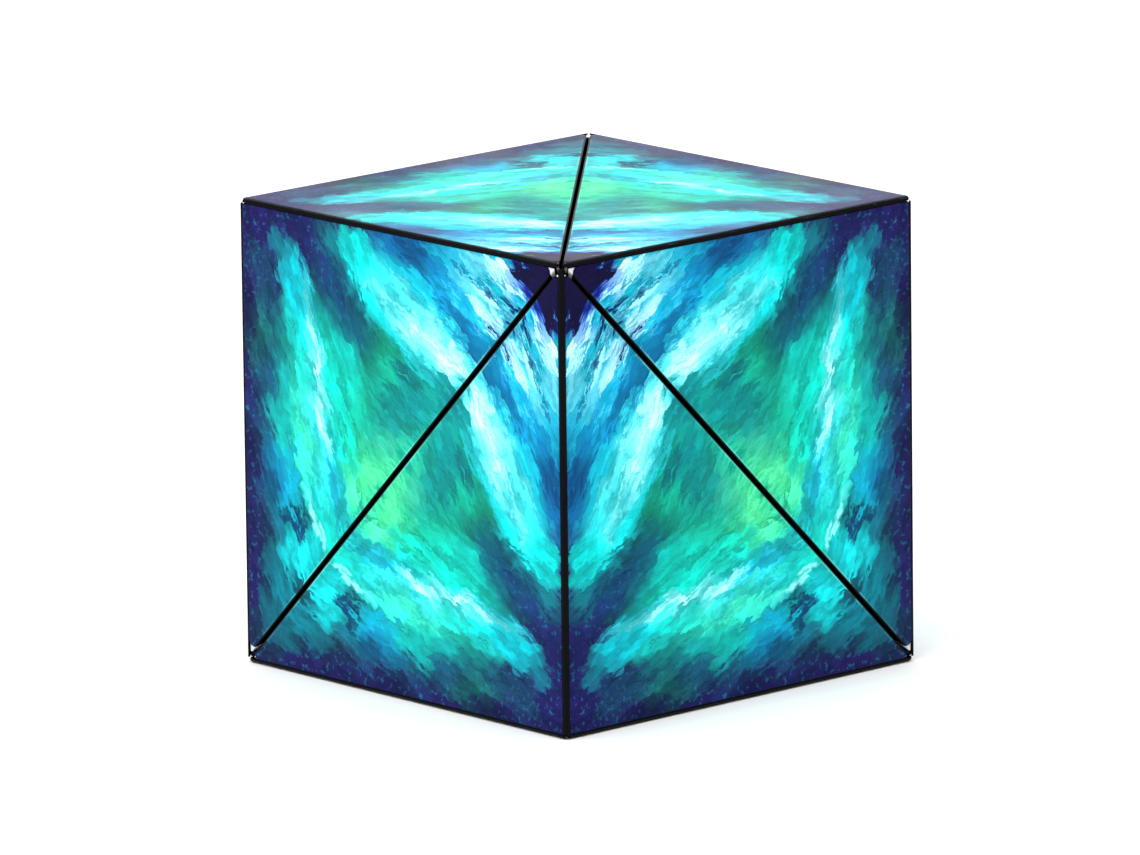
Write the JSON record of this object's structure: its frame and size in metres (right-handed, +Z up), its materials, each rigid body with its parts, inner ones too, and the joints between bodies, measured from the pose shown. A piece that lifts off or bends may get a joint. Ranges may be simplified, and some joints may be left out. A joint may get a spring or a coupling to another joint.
{
  "type": "folding magnetic puzzle cube",
  "caption": "Hand-held puzzle cube of hinged magnetic wedges that folds open along its edges and face diagonals.",
  "frame": {"origin": "centre of the resting face, on its outer surface", "axes": "+Z up; the long diagonal that all the seams start from runs from (+X, -Y, top) to (-X, +Y, bottom)"},
  "size_m": [0.057, 0.057, 0.057],
  "materials": {
    "shell_plastic": "satin moulded plastic",
    "cover_plastic": "satin moulded plastic",
    "magnet_metal": "nickel-plated",
    "printed_film": "satin printed film, blue, teal and green",
    "hinge_film": "dark flexible film"
  },
  "bodies": {
    "wedge_01": {"shell_01": "shell_plastic", "cover_01": "cover_plastic", "magnets_01": "magnet_metal", "film_01": "printed_film", "hinge_01": "hinge_film", "hinge_02": "hinge_film"},
    "wedge_02": {"shell_02": "shell_plastic", "cover_02": "cover_plastic", "magnets_02": "magnet_metal", "film_02": "printed_film", "hinge_03": "hinge_film"},
    "wedge_03": {"shell_03": "shell_plastic", "cover_03": "cover_plastic", "magnets_03": "magnet_metal", "film_03": "printed_film", "hinge_04": "hinge_film"},
    "wedge_04": {"shell_04": "shell_plastic", "cover_04": "cover_plastic", "magnets_04": "magnet_metal", "film_04": "printed_film", "hinge_05": "hinge_film"},
    "wedge_05": {"shell_05": "shell_plastic", "cover_05": "cover_plastic", "magnets_05": "magnet_metal", "film_05": "printed_film", "hinge_06": "hinge_film"},
    "wedge_06": {"shell_06": "shell_plastic", "cover_06": "cover_plastic", "magnets_06": "magnet_metal", "film_06": "printed_film", "hinge_07": "hinge_film"},
    "wedge_07": {"shell_07": "shell_plastic", "cover_07": "cover_plastic", "magnets_07": "magnet_metal", "film_07": "printed_film", "hinge_08": "hinge_film"},
    "wedge_08": {"shell_08": "shell_plastic", "cover_08": "cover_plastic", "magnets_08": "magnet_metal", "film_08": "printed_film"},
    "wedge_09": {"shell_09": "shell_plastic", "cover_09": "cover_plastic", "magnets_09": "magnet_metal", "film_09": "printed_film", "hinge_09": "hinge_film"},
    "wedge_10": {"shell_10": "shell_plastic", "cover_10": "cover_plastic", "magnets_10": "magnet_metal", "film_10": "printed_film", "hinge_10": "hinge_film"},
    "wedge_11": {"shell_11": "shell_plastic", "cover_11": "cover_plastic", "magnets_11": "magnet_metal", "film_11": "printed_film", "hinge_11": "hinge_film"},
    "wedge_12": {"shell_12": "shell_plastic", "cover_12": "cover_plastic", "magnets_12": "magnet_metal", "film_12": "printed_film", "hinge_12": "hinge_film"}
  },
  "joints": [
    {"name": "fold_07_08", "type": "hinge", "parent": "wedge_08", "child": "wedge_07", "pos_m": [0, -0.0281, 0.0004], "axis": [1, 0, 0], "range_deg": [0, 12]},
    {"name": "fold_06_07", "type": "hinge", "parent": "wedge_07", "child": "wedge_06", "pos_m": [0.0281, -0.0281, 0.0285], "axis": [0, 0, -1], "range_deg": [0, 10.8]},
    {"name": "fold_05_06", "type": "hinge", "parent": "wedge_06", "child": "wedge_05", "pos_m": [0.0281, 0, 0.0004], "axis": [0, -1, 0], "range_deg": [0, 12]},
    {"name": "fold_04_05", "type": "hinge", "parent": "wedge_05", "child": "wedge_04", "pos_m": [0, 0.0281, 0.0004], "axis": [-1, 0, 0], "range_deg": [0, 10.8]},
    {"name": "fold_03_04", "type": "hinge", "parent": "wedge_04", "child": "wedge_03", "pos_m": [0.0281, 0.0281, 0.0285], "axis": [0, 0, 1], "range_deg": [0, 12]},
    {"name": "fold_02_03", "type": "hinge", "parent": "wedge_03", "child": "wedge_02", "pos_m": [0.0281, 0, 0.0566], "axis": [0, 1, 0], "range_deg": [0, 10.8]},
    {"name": "fold_01_02", "type": "hinge", "parent": "wedge_02", "child": "wedge_01", "pos_m": [0, 0.0281, 0.0566], "axis": [1, 0, 0], "range_deg": [0, 12]},
    {"name": "fold_08_09", "type": "hinge", "parent": "wedge_08", "child": "wedge_09", "pos_m": [-0.0281, 0, 0.0004], "axis": [0, -1, 0], "range_deg": [0, 10.8]},
    {"name": "fold_09_10", "type": "hinge", "parent": "wedge_09", "child": "wedge_10", "pos_m": [-0.0281, -0.0281, 0.0285], "axis": [0, 0, -1], "range_deg": [0, 12]},
    {"name": "fold_10_11", "type": "hinge", "parent": "wedge_10", "child": "wedge_11", "pos_m": [0, -0.0281, 0.0566], "axis": [1, 0, 0], "range_deg": [0, 10.8]},
    {"name": "fold_11_12", "type": "hinge", "parent": "wedge_11", "child": "wedge_12", "pos_m": [-0.0281, 0, 0.0566], "axis": [0, 1, 0], "range_deg": [0, 12]}
  ],
  "couplings": [
    {"joint": "fold_06_07", "follows": "fold_07_08", "ratio": 0.9},
    {"joint": "fold_05_06", "follows": "fold_07_08", "ratio": 1},
    {"joint": "fold_04_05", "follows": "fold_07_08", "ratio": 0.9},
    {"joint": "fold_03_04", "follows": "fold_07_08", "ratio": 1},
    {"joint": "fold_02_03", "follows": "fold_07_08", "ratio": 0.9},
    {"joint": "fold_01_02", "follows": "fold_07_08", "ratio": 1},
    {"joint": "fold_08_09", "follows": "fold_07_08", "ratio": 0.9},
    {"joint": "fold_09_10", "follows": "fold_07_08", "ratio": 1},
    {"joint": "fold_10_11", "follows": "fold_07_08", "ratio": 0.9},
    {"joint": "fold_11_12", "follows": "fold_07_08", "ratio": 1}
  ]
}
